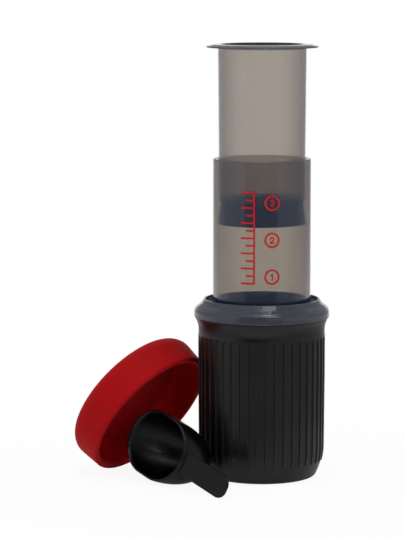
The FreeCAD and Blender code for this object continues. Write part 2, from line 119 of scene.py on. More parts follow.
BORE = 30.3
CHAMBER_OUTER = 33.2
CHAMBER_FOOT_ROUNDING = 0.3
CHAMBER_MOUTH_ROUNDINGS = (0.4, 0.8)    # inside and outside
LUGS = 5
LUG_SPAN = 30.0
LUG_PROUD = 1.5
LUG_RISE = 3.0
LUG_THICK = 2.5
LUG_BEVEL = 0.1

# Flange and skirt of the chamber

FLANGE_BEAD = 5.9           # height above the mug of the corner that the bead rounds
FLANGE_BEAD_ROUNDING = 4.5
FLANGE_SHOULDER = 4.65
FLANGE_WALL = 2.4
FLANGE_FILLET = 1.2
FLANGE_FOOT_ROUNDINGS = (0.8, 0.3)      # outside and inside
RING = 39.5
RING_WIDTH = 1.2
RING_RISE = 12.4
RING_ROUNDING = 0.4
RING_FILLET = 0.5
TROUGH_DEPTH = 3.0
SKIRT_OUTER = 39.8
SKIRT_INNER = 38.2
SKIRT_DEPTH = 4.0
SKIRT_ROUNDING = 0.4
SKIRT_FILLET = 0.8

# Plunger and its brim

PLUNGER_UPPER = 29.95
PLUNGER_LOWER = 29.1
PLUNGER_WALL = 2.4
PLUNGER_ROUNDING = 0.8
PLUNGER_MOUTH_ROUNDING = 0.5
SPIGOT = 24.5
BRIM_EDGE = 1.0
BRIM_CROWN = 1.2
BRIM_SLOPE = 4.5
BRIM_SLOPE_ROUNDING = 8.0
BRIM_FILLET = 0.8
BRIM_EDGE_ROUNDINGS = (0.4, 0.5)        # below and above

# Seal

SEAL_WAIST = 29.4
SEAL_WAIST_RISE = 5.0
SEAL_WAIST_ROUNDING = 11.4
SEAL_NECK = 27.7
SEAL_NECK_ROUNDING = 0.4
SEAL_CROWN = 0.5
SEAL_CROWN_ROUNDING = 1.0
SEAL_LIP_EDGE = 1.2
SEAL_LIP_BAND = 0.8
SEAL_LIP_ROUNDINGS = (0.4, 0.2)         # below and above

# Lid, made with its mouth in the plane z = 0 and then leaned and turned

LID_LIP = 45.75
LID_LIP_HEIGHT = 4.0
LID_LIP_ROUNDING = 1.6
LID_MOUTH = 50.1
LID_CROWN = 52.25
LID_HEIGHT = 26.2
LID_CORNER = 9.3
LID_WALL = 3.2
LID_TOP_WALL = 3.4
LID_ARC_STEP = 6
LID_COLUMNS = 180
LID_ANGLES = (0, 54.5, 145.75)          # about X, then Y, then Z

# Scoop, made with its rim in the plane z = 0 and its handle along +X

BOWL_HALF_WIDTH = 22.35
BOWL_HALF_STRAIGHT = 4.9
BOWL_DEPTH = 34.6
BOWL_SHIFT = 13.9           # of the bottom towards the handle
BOWL_WALL = 1.7
BOWL_LAST_ANGLE = 82        # where the rounded bottom ends in a small flat
BOWL_ROWS = 26
BOWL_COLUMNS = 40           # in each rounded end
BOWL_LIP_STEPS = 8
HANDLE_REACH = 44.2         # from the bowl
HANDLE_WIDTH = 16.0
HANDLE_THICK = 1.8
HANDLE_DROP = 2.1           # below the rim
HANDLE_TIP = 7.0            # rounding of the tip's corners
HANDLE_EDGE = 0.45          # rounding of the edges
HANDLE_EDGE_STEPS = 3
HANDLE_TIP_STEPS = 10
HANDLE_ROOT_STEPS = 8
SCOOP_ANGLES = (72.9, 16.0254, -47.2)   # about X, then Y, then Z

# Printed marks on the chamber, placed along its surface from the front line and up from the
# table

MARK_LIFT = 0.03
MARK_THICK = 0.05
MARK_TOP = MARK_LIFT + MARK_THICK
MARK_STEP = 0.6             # longest straight part of a line round the wall
ROUND_END_STEPS = 12        # in the half circle of a line's end
DOSES = {1: 140.5, 2: 165.2, 3: 190.1}
DOSE_ACROSS = 6.9
DOSE_RING = 4.6
DOSE_RING_STEPS = 48
DOSE_STROKE = 1.3
DIGIT_STROKE = 1.05
DIGIT_FOOT = -1.9           # places in a figure are across and up from its middle
DIGIT_TOP = 1.9
ONE_FLAG = (-0.75, 1.25)
ONE_STEM = 0.2
TWO_BOW = (0, 0.8, 1.1, 165, -40)       # its middle, radius, first and last angle
TWO_FOOT = (-1.15, 1.2)
THREE_BOWS = ((-0.1, 0.95, 0.95, 150, -90), (-0.1, -0.93, 1.0, 90, -150))
BOW_STEPS = 14
SCALE_FOOT = 136.0
SCALE_TOP = 197.0
SCALE_ACROSS = -5.2
SCALE_STROKE = 1.25
SCALE_TICKS = 13
TICK_LONG = 8.8
TICK_SHORT = 5.2

# Finishes. Noise is given in features per metre, and the density of smoke plastic is that of
# its absorption.

SLOW_CHANGE = 90            # of an opaque piece's colour and gloss
GRAIN_DETAIL = 3.0
GRAIN_STRENGTH = 0.5
PLAIN_SPECULAR = 0.5
SMOKE_CHANGE = 60
SMOKE_ROUGHNESS = (0.02, 0.05)
SMOKE_IOR = 1.5
SMOKE_PASSED = (0.5325, 0.44, 0.285)    # colour of the light that gets through
CHAMBER_DENSITY = 375
PLUNGER_DENSITY = 330
TUBE_SCATTER = 0.19
TUBE_TINT = (0.2, 0.42, 1.0)
RIM_DENSITY = 350
RIM_CLEAR = 0.72
RIM_IOR = 1.6
FLANGE_COLOUR = (0.22, 0.252, 0.35)
BRIM_COLOUR = (0.36, 0.40, 0.50)

# Camera: the photograph is 404 by 540 pixels, upright

CAMERA_PLACE = Vector((0.0, -1800.0, 364.95))
CAMERA_YAW = 1.2947         # to the left
CAMERA_PITCH = 7.0855       # down
FOCAL_PIXELS = 2665.5
PHOTO_LONG_SIDE = 540
SENSOR = 36.0
FARTHEST_SEEN = 50000.0

# Surroundings. Each band of the sky has the height above the horizon where it ends, and then,
# from the back over the left, the front and the right, the angle where each level starts. The
# front is at 0. Pale panels stand on both sides, and the front is dark between them.

SKY_BANDS = (
    (-13, ((-180, 0.7), (-155, 0.5), (-40, 0.8), (40, 0.4), (155, 0.7))),
    (-8.5, ((-180, 0.6), (-155, 0.18), (155, 0.6))),
    (-6.7, ((-180, 1.0), (-155, 0.9), (-85, 0.6), (-41, 0.06), (36, 0.5), (85, 0.75), (155, 1.0))),
    (3, ((-180, 1.0), (-155, 0.45), (-85, 0.55), (-41, 0.06), (36, 0.45), (85, 0.3), (155, 1.0))),
    (11, ((-180, 1.0), (-155, 0.4), (-85, 0.6), (-37, 0.06), (8, 0.8), (34, 0.5), (155, 1.0))),
    (36, ((-180, 0.35), (-155, 0.4), (-85, 0.45), (-37, 0.06), (37, 0.4), (85, 0.4), (155, 0.35))),
    (45, ((-180, 0.5), (-37, 0.3), (8, 1.5), (38, 0.3), (85, 0.5), (171, 2.4))),
    (75, ((-180, 0.4), (-60, 0.5), (-15, 0.9), (3, 2.1), (38, 0.3))),
    (90, ((-180, 0.4), (-70, 1.5), (0, 3.0), (110, 0.4))),
)
BACKDROP = ((-180, 1.0), (-177.5, 0.95), (-175, 0.9), (-171, 0.84), (171, 0.9), (175, 0.95),
            (177.5, 1.0))   # what clear plastic lets through
SKY_SOFT = 1.0              # to both sides of a change of level
SKY_BRIGHTEST = 4.0
SKY_SEEN = 1.0              # white behind the object
FLOOR_RADIUS = 220.0
FLOOR_SIDES = 96
FLOOR_GREY = 0.9
FLOOR_GLOW_SEEN = 0.85
FLOOR_GLOW_MIRRORED = 0.15
FLOOR_SHINE = 1.08

SPOT_AIM = Vector((-71.4, -14.1, 18.9))     # in the scoop's bowl
SPOT_BEARING = 16.0         # to the right of the front
SPOT_HEIGHT = 19.7          # above the horizon
SPOT_DISTANCE = 1200.0
SPOT_BEAM = 1.5
SPOT_RADIUS = 60.0
SPOT_WATTS = 45.0


# Outlines and solids of revolution

def arc_points(before, corner, after, rounding, step):
    """Points of the arc that rounds a corner, one every step degrees or so."""
    back, ahead = (before - corner).normalized(), (after - corner).normalized()
    half = back.angle(ahead) / 2
    reach = rounding / math.tan(half)
    centre = corner + (back + ahead).normalized() * (rounding / math.sin(half))
    start, end = corner + back * reach - centre, corner + ahead * reach - centre
    turn = start.angle(end)
    count = max(2, math.ceil(math.degrees(turn) / step))
    if start.x * end.y < start.y * end.x:
        turn = -turn
    return [centre + Matrix.Rotation(turn * i / count, 2) @ start for i in range(count + 1)]


def near_ends(start, end):
    """Points just inside both ends of a long straight part, which keep its shading flat."""
    length = (end - start).length
    if length < LONG_PART:
        return []
    return [start.lerp(end, END_HOLD / length), end.lerp(start, END_HOLD / length)]


def outline(corners, closed=False, step=ARC_STEP):
    """A line through (radius, height) corners; a third number rounds the corner."""
    places = [Vector(corner[:2]) for corner in corners]
    turns = []
    for i, corner in enumerate(corners):
        if len(corner) == 3 and (closed or 0 < i < len(corners) - 1):
            after = places[(i + 1) % len(places)]
            turns.append(arc_points(places[i - 1], places[i], after, corner[2], step))
        else:
            turns.append([places[i]])
    points = []
    for i, turn in enumerate(turns):
        points += turn
        if closed or i < len(turns) - 1:
            points += near_ends(turn[-1], turns[(i + 1) % len(turns)][0])
    return points


def walked(points, step_at):
    """The same line with more points, step_at(height) apart or so."""
    line = [points[0]]
    for point in points[1:]:
        while (point - line[-1]).length > LONGEST_ROW * step_at(line[-1].y):
            gap = point - line[-1]
            line.append(line[-1] + gap.normalized() * step_at(line[-1].y))
        line.append(point)
    return line


def linked(name, data):
    """A new object of the scene."""
    thing = bpy.data.objects.new(name, data)
    bpy.context.scene.collection.objects.link(thing)
    return thing


def new_object(name, mesh):
    """A mesh object from bmesh data, shaded smooth except at sharp edges."""
    bmesh.ops.recalc_face_normals(mesh, faces=mesh.faces)
    data = bpy.data.meshes.new(name)
    mesh.to_mesh(data)
    mesh.free()
    for face in data.polygons:
        face.use_smooth = True
    data.set_sharp_from_angle(angle=math.radians(SHARP_ANGLE))
    return linked(name, data)


def bridge(mesh, ring, following):
    """Faces between two rings of vertices; a ring of one vertex is a point on the axis."""
    count = max(len(ring), len(following))
    for i in range(count):
        after = (i + 1) % count
        if len(ring) == 1:
            mesh.faces.new((ring[0], following[i], following[after]))
        elif len(following) == 1:
            mesh.faces.new((ring[i], following[0], ring[after]))
        else:
            mesh.faces.new((ring[i], following[i], following[after], ring[after]))


def loft(mesh, rings, closed=False, capped=False):
    """Faces from ring to ring; closed goes back to the first ring, capped fills both ends."""
    for ring, following in zip(rings, rings[1:]):
        bridge(mesh, ring, following)
    if closed:
        bridge(mesh, rings[-1], rings[0])
    if capped:
        mesh.faces.new(rings[0])
        mesh.faces.new(rings[-1])


def spin(name, points, angles, closed=False, reach=None):
    """Turn an outline round Z; reach(row, radius, height, angle) changes a point's radius."""
    mesh = bmesh.new()
    rings = []
    for row, (radius, height) in enumerate(points):
        if radius < TINY:
            rings.append([mesh.verts.new((0, 0, height * MM))])
            continue
        ring = []
        for angle in angles:
            own = reach(row, radius, height, angle) if reach else radius
            place = Vector((own * math.cos(angle), own * math.sin(angle), height))
            ring.append(mesh.verts.new(place * MM))
        rings.append(ring)
    loft(mesh, rings, closed)
    return new_object(name, mesh)


def even_angles(count):
    """Angles in radians, evenly spaced round the axis."""
    return [2 * math.pi * i / count for i in range(count)]


def stand_in(thing, node, angles):
    """Turn a finished mesh and move it so that its box has the same middle as the node's."""
    turned = Euler([math.radians(angle) for angle in angles], "XYZ").to_matrix().to_4x4()
    thing.data.transform(turned)
    places = [vertex.co for vertex in thing.data.vertices]
    low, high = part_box(node)
    own = Vector([(min(p[i] for p in places) + max(p[i] for p in places)) / 2 for i in range(3)])
    thing.data.transform(Matrix.Translation((low + high) / 2 - own))


# Shader nodes

def new_material(name):
    """A material with its node tree and its main shader."""
    material = bpy.data.materials.new(name)
    material.use_nodes = True
    return material, material.node_tree, material.node_tree.nodes["Principled BSDF"]


def arithmetic(tree, operation, first, second=None):
    """The result of a sum on numbers or sockets."""
    node = tree.nodes.new("ShaderNodeMath")
    node.operation = operation
    for socket, value in zip(node.inputs, (first, second)):
        if isinstance(value, bpy.types.NodeSocket):
            tree.links.new(value, socket)
        elif value is not None:
            socket.default_value = value
    return node.outputs["Value"]


def blended(tree, share, first, second):
    """first where share is 0, second where it is 1; both may be numbers or sockets."""
    more = arithmetic(tree, "MULTIPLY", share, second)
    less = arithmetic(tree, "MULTIPLY", arithmetic(tree, "SUBTRACT", 1.0, share), first)
    return arithmetic(tree, "ADD", more, less)


def light_ray(tree, *kinds):
    """1 for rays of any of these kinds, otherwise 0."""
    path = tree.nodes.new("ShaderNodeLightPath")
    total = path.outputs[kinds[0]]
    for kind in kinds[1:]:
        total = arithmetic(tree, "MAXIMUM", total, path.outputs[kind])
    return total


def noise(tree, scale, detail=2.0):
    """Object-space noise, scale in features per metre."""
    where = tree.nodes.new("ShaderNodeTexCoord")
    node = tree.nodes.new("ShaderNodeTexNoise")
    node.inputs["Scale"].default_value = scale
    node.inputs["Detail"].default_value = detail
    tree.links.new(where.outputs["Object"], node.inputs["Vector"])
    return node.outputs["Fac"]


def spread(tree, source, low, high, start=0.3, end=0.7):
    """source from start to end, as low to high; noise lies mostly from 0.3 to 0.7."""
    node = tree.nodes.new("ShaderNodeMapRange")
    node.inputs["From Min"].default_value = start
    node.inputs["From Max"].default_value = end
    node.inputs["To Min"].default_value = low
    node.inputs["To Max"].default_value = high
    tree.links.new(source, node.inputs["Value"])
    return node.outputs["Result"]


def tinted(tree, source, dark, light):
    """A colour between two, by noise."""
    node = tree.nodes.new("ShaderNodeMixRGB")
    node.inputs["Color1"].default_value = (*dark, 1)
    node.inputs["Color2"].default_value = (*light, 1)
    tree.links.new(spread(tree, source, 0, 1), node.inputs["Fac"])
    return node.outputs["Color"]


def bump(tree, shader, source, strength, depth):
    """Fine relief on a surface."""
    node = tree.nodes.new("ShaderNodeBump")
    node.inputs["Strength"].default_value = strength
    node.inputs["Distance"].default_value = depth * MM
    tree.links.new(source, node.inputs["Height"])
    tree.links.new(node.outputs["Normal"], shader.inputs["Normal"])


# Opaque finishes

def opaque(name, dark, light, rough, grain, depth, specular=PLAIN_SPECULAR):
    """Moulded or soft opaque stuff: fine grain, and slow changes of colour and gloss."""
    material, tree, shader = new_material(name)
    slow, fine = noise(tree, SLOW_CHANGE), noise(tree, grain, GRAIN_DETAIL)
    tree.links.new(tinted(tree, slow, dark, light), shader.inputs["Base Color"])
    tree.links.new(spread(tree, slow, *rough), shader.inputs["Roughness"])
    shader.inputs["Specular IOR Level"].default_value = specular
    bump(tree, shader, fine, GRAIN_STRENGTH, depth)
    return material


def mug_plastic():
    """Black plastic with a satin shine."""
    return opaque("mug_plastic", dark=(0.0045, 0.0045, 0.0046), light=(0.006, 0.006, 0.0061),
                  rough=(0.3, 0.36), grain=2200, depth=0.04)


def cap_plastic():
    """Dark plastic, duller than the mug's."""
    return opaque("cap_plastic", dark=(0.016, 0.016, 0.018), light=(0.021, 0.021, 0.023),
                  rough=(0.38, 0.46), grain=1800, depth=0.04)


def seal_rubber():
    """Smooth black rubber."""
    return opaque("seal_rubber", dark=(0.009, 0.0095, 0.011), light=(0.012, 0.0125, 0.0145),
                  rough=(0.4, 0.5), grain=1500, depth=0.04)


def scoop_plastic():
    """Deep black plastic, a little smoother than the mug's."""
    return opaque("scoop_plastic", dark=(0.0008, 0.0008, 0.0009), light=(0.0012, 0.0012, 0.0013),
                  rough=(0.27, 0.32), grain=1600, depth=0.03, specular=0.36)


def printed_ink():
    """Flat red ink."""
    return opaque("printed_ink", dark=(0.80, 0.008, 0.011), light=(0.86, 0.010, 0.014),
                  rough=(0.45, 0.55), grain=5000, depth=0.01)


def lid_silicone():
    """Soft matte silicone with a velvety edge."""
    material = opaque("lid_silicone", dark=(0.64, 0.0055, 0.0085), light=(0.70, 0.0065, 0.010),
                      rough=(0.58, 0.68), grain=2600, depth=0.06, specular=0.12)
    shader = material.node_tree.nodes["Principled BSDF"]
    shader.inputs["Sheen Weight"].default_value = 0.02
    shader.inputs["Sheen Roughness"].default_value = 0.4
    shader.inputs["Sheen Tint"].default_value = (1.0, 0.75, 0.72, 1)
    return material


def filter_paper():
    """Pale unglazed paper with its fibres."""
    material, tree, shader = new_material("filter_paper")
    fibres, slow = noise(tree, 1800, detail=5.0), noise(tree, 120)
    colour = tinted(tree, fibres, dark=(0.70, 0.66, 0.58), light=(0.84, 0.80, 0.73))
    tree.links.new(colour, shader.inputs["Base Color"])
    tree.links.new(spread(tree, slow, 0.8, 0.95), shader.inputs["Roughness"])
    bump(tree, shader, fibres, strength=0.6, depth=0.08)
    return material


# Smoke-tinted plastic

def smoke_plastic(name, density):
    """Clear plastic that takes up more of the blue light than of the red on its way through."""
    material, tree, shader = new_material(name)
    shader.inputs["Base Color"].default_value = (1, 1, 1, 1)
    shader.inputs["Transmission Weight"].default_value = 1.0
    shader.inputs["IOR"].default_value = SMOKE_IOR
    tree.links.new(spread(tree, noise(tree, SMOKE_CHANGE), *SMOKE_ROUGHNESS),
                   shader.inputs["Roughness"])
    absorption = tree.nodes.new("ShaderNodeVolumeAbsorption")
    absorption.inputs["Color"].default_value = (*SMOKE_PASSED, 1)
    absorption.inputs["Density"].default_value = density
    tree.links.new(absorption.outputs["Volume"], tree.nodes["Material Output"].inputs["Volume"])
    return material, shader


def tube_smoke(name, density):
    """The tubes' plastic, which also scatters a little bluish light from its faces."""
    material, shader = smoke_plastic(name, density)
    shader.inputs["Sheen Weight"].default_value = TUBE_SCATTER
    shader.inputs["Sheen Roughness"].default_value = 1.0
    shader.inputs["Sheen Tint"].default_value = (*TUBE_TINT, 1)
    return material


def rim_smoke(name, colour):
    """The same plastic seen through a thick edge, where it looks slate and hardly clear."""
    material, shader = smoke_plastic(name, RIM_DENSITY)
    shader.inputs["Base Color"].default_value = (*colour, 1)
    shader.inputs["Transmission Weight"].default_value = RIM_CLEAR
    shader.inputs["IOR"].default_value = RIM_IOR
    return material


# Mug

def smooth_share(value):
    """A smooth rise from 0 at 0 to 1 at 1, level beyond both."""
    share = min(max(value, 0), 1)
    return share * share * (3 - 2 * share)


def outside_flute(across, height):
    """Distance out of the nearest flute, with its arched top; across is from its middle."""
    side = across - (FLUTE_WIDTH / 2 - FLUTE_CORNER)
    above = height - (FLUTE_TOP - FLUTE_CORNER)
    return math.hypot(max(side, 0), max(above, 0)) + min(max(side, above), 0) - FLUTE_CORNER


def inside_land(across, height, half):
    """Distance into the land between two flutes, with its rounded foot."""
    return half - math.hypot(across, min(height - (LAND_FOOT + half), 0))


def mug_row_step(height):
    """How far apart the mug's rows of points lie."""
    ends = min(abs(height - FLUTE_TOP + ROWS_INSET), abs(height - LAND_FOOT - ROWS_INSET))
    least, most = ROW_DISTANCES
    return min(max(ROWS_GROWTH * (ends - ROWS_CLOSE), least), most)


def mug_outside():
    """The outer face at the flutes' depth, from the middle of the foot up to the rim."""
    rim = SEAT - SEAT_GAP
    corners = [
        (0, 0),
        (FOOT_GROOVE[0], 0),
        (FOOT_GROOVE[0], FOOT_GROOVE_DEPTH),
        (FOOT_GROOVE[1], FOOT_GROOVE_DEPTH),
        (FOOT_GROOVE[1], 0),
        (MUG_FOOT, 0, MUG_FOOT_ROUNDING),
        (MUG_LOWER, MUG_BASE_RISE, MUG_BASE_SWEEP),
        (MUG_UPPER, MUG_MIDDLE, MUG_TAPER_SWEEP),
        (MUG_UPPER, FLUTE_TOP + MUG_NECK_START),
        (MUG_NECK, SEAT - MUG_NECK_DROP, MUG_FLARE_SWEEP / 4),
        (MUG_NECK, SEAT - MUG_NECK_DROP / 2, MUG_FLARE_SWEEP),
        (MUG_RIM - FLUTE_DEPTH, rim, MUG_RIM_ROUNDING),
        (MUG_RIM - FLUTE_DEPTH - 2 * MUG_RIM_ROUNDING, rim),
    ]
    return walked(outline(corners, step=MUG_ARC_STEP), mug_row_step)


def mug_inside():
    """The inner face from the rim down to the middle of the floor."""
    rim = SEAT - SEAT_GAP
    mouth = MUG_RIM - MUG_WALL
    inner = MUG_UPPER - MUG_WALL
    return outline([
        (mouth + 2 * MUG_RIM_ROUNDING, rim),
        (mouth, rim, MUG_RIM_ROUNDING),
        (MUG_NECK + FLUTE_DEPTH - MUG_WALL, SEAT - MUG_NECK_DROP / 2, MUG_FLARE_SWEEP),
        (inner, FLUTE_TOP),
        (inner, MUG_BASE_RISE, MUG_BASE_SWEEP / 2),
        (MUG_FOOT - MUG_WALL, MUG_FLOOR, MUG_FOOT_ROUNDING),
        (0, MUG_FLOOR),
    ])


def make_mug():
    """The mug, with its columns of points close together at the flutes' edges."""
    pitch_angle = 2 * math.pi / FLUTES
    surface = MUG_UPPER + FLUTE_DEPTH
    pitch = surface * pitch_angle
    front = -math.pi / 2
    columns = [sign * column for column in FLUTE_COLUMNS for sign in (-1, 1)] + [0, pitch / 2]
    angles = sorted(front + flute * pitch_angle + column / surface
                    for flute in range(FLUTES) for column in columns)
    outside = mug_outside()

    def proud(row, radius, height, angle):
        """The outside is raised to the lands' height wherever there is no flute."""
        if row >= len(outside):
            return radius
        turn = (angle - front + pitch_angle / 2) % pitch_angle - pitch_angle / 2
        across = abs(turn) * surface
        step = outside_flute(across, height)
        if height < SEAT / 2:
            step = min(step, inside_land(pitch / 2 - across, height, (pitch - FLUTE_WIDTH) / 2))
        return radius + FLUTE_DEPTH * smooth_share(step / FLUTE_EDGE + 0.5)

    return spin("mug_body", outside + mug_inside(), angles, reach=proud)


# Chamber

def make_chamber():
    """The brewing tube with the lugs for the cap."""
    foot = CHAMBER_FOOT + SEAT_GAP
    lug_foot = CHAMBER_FOOT + LUG_RISE
    lug_top = lug_foot + LUG_THICK
    points = outline([
        (BORE, foot, CHAMBER_FOOT_ROUNDING),
        (BORE, CHAMBER_TOP, CHAMBER_MOUTH_ROUNDINGS[0]),
        (CHAMBER_OUTER, CHAMBER_TOP, CHAMBER_MOUTH_ROUNDINGS[1]),
        (CHAMBER_OUTER, lug_top + LUG_BEVEL),
        (CHAMBER_OUTER + LUG_PROUD, lug_top),
        (CHAMBER_OUTER + LUG_PROUD, lug_foot),
        (CHAMBER_OUTER, lug_foot - LUG_BEVEL),
        (CHAMBER_OUTER, foot, CHAMBER_FOOT_ROUNDING),
    ], closed=True)
    lug_pitch = 2 * math.pi / LUGS
    half_span = math.radians(LUG_SPAN / 2)
    bevel = LUG_BEVEL / CHAMBER_OUTER
    edges = [lug * lug_pitch + side * (half_span + bevel)
             for lug in range(LUGS) for side in (-1, 1)]
    angles = sorted([angle % (2 * math.pi) for angle in edges] + even_angles(TUBE_COLUMNS))

    def lugs(row, radius, height, angle):
        """Only the lugs stand out from the tube between their two heights."""
        away = abs((angle + lug_pitch / 2) % lug_pitch - lug_pitch / 2)
        if radius > CHAMBER_OUTER and away > half_span + bevel / 2:
            return CHAMBER_OUTER
        return radius

    return spin("chamber_tube", points, angles, closed=True, reach=lugs)


def make_flange():
    """The flange that rests on the mug: a trough and ring above, a round bead, hollow below."""
    ring_top = SEAT + RING_RISE
    trough = ring_top - TROUGH_DEPTH
    bead = SEAT + FLANGE_BEAD
    roof = trough - FLANGE_WALL
    skirt_foot = SEAT - SKIRT_DEPTH
    ring_inner = RING - RING_WIDTH
    wall_inner = FLANGE - FLANGE_WALL
    root = CHAMBER_OUTER + SEAT_GAP
    points = outline([
        (root, trough + FLANGE_FILLET),
        (root, trough, FLANGE_FILLET),
        (ring_inner, trough, RING_FILLET),
        (ring_inner, ring_top, RING_ROUNDING),
        (RING, ring_top, RING_ROUNDING),
        (FLANGE - FLANGE_SHOULDER, trough, FLANGE_WALL),
        (FLANGE, bead, FLANGE_BEAD_ROUNDING),
        (FLANGE, SEAT, FLANGE_FOOT_ROUNDINGS[0]),
        (wall_inner, SEAT, FLANGE_FOOT_ROUNDINGS[1]),
        (wall_inner, bead - FLANGE_WALL / 2, FLANGE_BEAD_ROUNDING - FLANGE_WALL),
        (SKIRT_OUTER, roof, SKIRT_FILLET),
        (SKIRT_OUTER, skirt_foot, SKIRT_ROUNDING),
        (SKIRT_INNER, skirt_foot, SKIRT_ROUNDING),
        (SKIRT_INNER, roof, SKIRT_FILLET),
        (root, roof),
    ], closed=True)
    return spin("chamber_flange", points, even_angles(TUBE_COLUMNS), closed=True)


# Plunger and seal

def make_plunger():
    """The plunger's tube, closed below by the spigot that carries the seal."""
    spigot_inner = SPIGOT - PLUNGER_WALL
    step = SHOULDER + PLUNGER_WALL
    floor = PLUNGER_FOOT + PLUNGER_WALL
    points = outline([
        (0, PLUNGER_FOOT),
        (SPIGOT, PLUNGER_FOOT, PLUNGER_ROUNDING),
        (SPIGOT, SHOULDER),
        (PLUNGER_LOWER, SHOULDER, PLUNGER_ROUNDING),
        (PLUNGER_UPPER, PLUNGER_TOP),
        (PLUNGER_UPPER - PLUNGER_WALL, PLUNGER_TOP, PLUNGER_MOUTH_ROUNDING),
        (PLUNGER_LOWER - PLUNGER_WALL, step, PLUNGER_ROUNDING),
        (spigot_inner, step, PLUNGER_ROUNDING),
        (spigot_inner, floor, PLUNGER_ROUNDING),
        (0, floor),
    ])
    return spin("plunger_wall", points, even_angles(TUBE_COLUMNS))


def make_brim():
    """The brim for the hand, round the top of the plunger's tube."""
    foot = PLUNGER_TOP - BRIM_EDGE - BRIM_CROWN
    root = PLUNGER_UPPER + SEAT_GAP
    points = outline([
        (root, foot - BRIM_FILLET),
        (root, foot, BRIM_FILLET),
        (BRIM, foot, BRIM_EDGE_ROUNDINGS[0]),
        (BRIM, foot + BRIM_EDGE, BRIM_EDGE_ROUNDINGS[1]),
        (BRIM - BRIM_SLOPE, PLUNGER_TOP, BRIM_SLOPE_ROUNDING),
        (root, PLUNGER_TOP),
    ], closed=True)
    return spin("plunger_brim", points, even_angles(TUBE_COLUMNS), closed=True)


def make_seal():
    """The rubber cup on the spigot, with its wiping lip below and a waist above it."""
    socket = SPIGOT + SEAT_GAP
    socket_floor = PLUNGER_FOOT - SEAT_GAP
    top = SHOULDER - SEAT_GAP
    lip_foot = SEAL_FOOT + SEAL_LIP_EDGE
    points = outline([
        (0, SEAL_FOOT),
        (SEAL_LIP - 2 * SEAL_LIP_EDGE, SEAL_FOOT + SEAL_CROWN, SEAL_CROWN_ROUNDING),
        (SEAL_LIP, lip_foot, SEAL_LIP_ROUNDINGS[0]),
        (SEAL_LIP, lip_foot + SEAL_LIP_BAND, SEAL_LIP_ROUNDINGS[1]),
        (SEAL_WAIST, SEAL_FOOT + SEAL_WAIST_RISE, SEAL_WAIST_ROUNDING),
        (SEAL_NECK, top, SEAL_NECK_ROUNDING),
        (socket, top),
        (socket, socket_floor),
        (0, socket_floor),
    ])
    return spin("seal_cup", points, even_angles(TUBE_COLUMNS))


# Lines of points, for the marks and the scoop's handle

def arc_line(centre, radius, start, end, count):
    """Points of an arc between two angles, both included."""
    turns = [math.radians(start + (end - start) * i / count) for i in range(count + 1)]
    return [centre + Vector((math.cos(turn), math.sin(turn))) * radius for turn in turns]


def fine_line(points):
    """The same line in short steps, so that it can follow the round wall."""
    line = [points[0]]
    for point in points[1:]:
        start = line[-1]
        count = max(1, math.ceil((point - start).length / MARK_STEP))
        line += [start.lerp(point, i / count) for i in range(1, count + 1)]
    return line


# Printed marks

def on_chamber(place, lift):
    """A flat place, across and up, wrapped round the front of the chamber."""
    angle = place.x / CHAMBER_OUTER - math.pi / 2
    radius = CHAMBER_OUTER + lift
    return Vector((radius * math.cos(angle), radius * math.sin(angle), place.y)) * MM


def stations(places, half, closed):
    """Place, direction and half width of a mark's cross sections; an open line ends round."""
    count = len(places)
    line = []
    for i, place in enumerate(places):
        before = places[i - 1] if closed or i else place
        after = places[(i + 1) % count] if closed or i < count - 1 else place
        line.append((place, (after - before).normalized(), half))
    if closed:
        return line
    turns = [math.pi * k / ROUND_END_STEPS for k in range(1, ROUND_END_STEPS // 2)]
    cap = [(math.sin(turn), math.cos(turn)) for turn in turns]
    (first, ahead, _), (last, onward, _) = line[0], line[-1]
    start = [(first - ahead * half * out, ahead, half * side) for out, side in reversed(cap)]
    end = [(last + onward * half * out, onward, half * side) for out, side in cap]
    return start + line + end


def stroke(mesh, points, width, closed=False):
    """A printed line of even width along points."""
    section = ((1, MARK_LIFT), (-1, MARK_LIFT), (-1, MARK_TOP), (1, MARK_TOP))
    rings = []
    for place, along, half in stations(fine_line(points), width / 2, closed):
        aside = Vector((-along.y, along.x)) * half
        rings.append([mesh.verts.new(on_chamber(place + aside * side, lift))
                      for side, lift in section])
    loft(mesh, rings, closed=closed, capped=not closed)


def bow(across, up, radius, start, end):
    """A round stroke of a figure."""
    return arc_line(Vector((across, up)), radius, start, end, BOW_STEPS)


def figure_one():
    """The flag and the stem of a 1, as one line."""
    return [[Vector(ONE_FLAG), Vector((ONE_STEM, DIGIT_TOP)), Vector((ONE_STEM, DIGIT_FOOT))]]


def figure_two():
    """The bow and slope of a 2, and its foot."""
    left, right = (Vector((across, DIGIT_FOOT)) for across in TWO_FOOT)
    return [[*bow(*TWO_BOW), left], [left, right]]


def figure_three():
    """The two bows of a 3."""
    return [bow(*part) for part in THREE_BOWS]


def make_doses():
    """The figures 1, 2 and 3, each in its ring."""
    figures = {1: figure_one(), 2: figure_two(), 3: figure_three()}
    mesh = bmesh.new()
    for digit, height in DOSES.items():
        middle = Vector((DOSE_ACROSS, height))
        ring = arc_line(middle, DOSE_RING, 0, 360, DOSE_RING_STEPS)[:-1]
        stroke(mesh, ring, DOSE_STROKE, closed=True)
        for line in figures[digit]:
            stroke(mesh, [middle + place for place in line], DIGIT_STROKE)
    return new_object("dose_marks", mesh)


